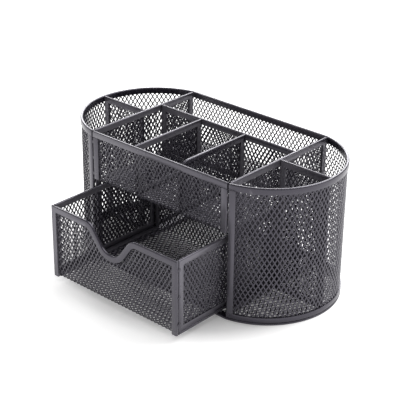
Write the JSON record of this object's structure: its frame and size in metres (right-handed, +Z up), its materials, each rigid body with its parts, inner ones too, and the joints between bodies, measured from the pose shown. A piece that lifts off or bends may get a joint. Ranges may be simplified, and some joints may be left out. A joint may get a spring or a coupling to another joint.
{
  "type": "pen stand with drawer",
  "caption": "Wire-mesh desk organizer with open compartments over and beside a pull-out drawer.",
  "frame": {"origin": "middle of the body's underside, on the plane that the base strip rests on", "axes": "+X along the length, +Y to the back (the drawer pulls out along -Y), +Z up"},
  "size_m": [0.22, 0.155, 0.104],
  "materials": {
    "black_steel": "semi-gloss black powder coat"
  },
  "bodies": {
    "organizer": {"back_bottom_rail": "black_steel", "back_mesh": "black_steel", "back_top_rim": "black_steel", "base_mesh": "black_steel", "base_strip": "black_steel", "corner_welds": "black_steel", "front_left_strip": "black_steel", "front_mesh": "black_steel", "front_right_strip": "black_steel", "front_top_rim": "black_steel", "left_drawer_runner": "black_steel", "left_end_bottom_rail": "black_steel", "left_end_divider_frame": "black_steel", "left_end_divider_mesh": "black_steel", "left_end_front_strip": "black_steel", "left_end_mesh": "black_steel", "left_end_top_rim": "black_steel", "left_partition_frame": "black_steel", "left_partition_mesh": "black_steel", "left_short_divider_frame": "black_steel", "left_short_divider_mesh": "black_steel", "long_divider_frame": "black_steel", "long_divider_mesh": "black_steel", "right_drawer_runner": "black_steel", "right_end_bottom_rail": "black_steel", "right_end_divider_frame": "black_steel", "right_end_divider_mesh": "black_steel", "right_end_front_strip": "black_steel", "right_end_mesh": "black_steel", "right_end_top_rim": "black_steel", "right_partition_frame": "black_steel", "right_partition_mesh": "black_steel", "right_short_divider_frame": "black_steel", "right_short_divider_mesh": "black_steel", "shelf_left_strip": "black_steel", "shelf_mesh": "black_steel", "shelf_right_strip": "black_steel"},
    "drawer": {"drawer_corner_welds": "black_steel", "drawer_front_strip": "black_steel", "drawer_left_floor_strip": "black_steel", "drawer_left_side_frame": "black_steel", "drawer_left_side_mesh": "black_steel", "drawer_rear_strip": "black_steel", "drawer_right_floor_strip": "black_steel", "drawer_right_side_frame": "black_steel", "drawer_right_side_mesh": "black_steel", "drawer_tray_mesh": "black_steel"}
  },
  "joints": [
    {"name": "drawer_slide", "type": "slide", "parent": "organizer", "child": "drawer", "axis": [0, -1, 0], "range_m": [-0.045, 0.035]}
  ]
}
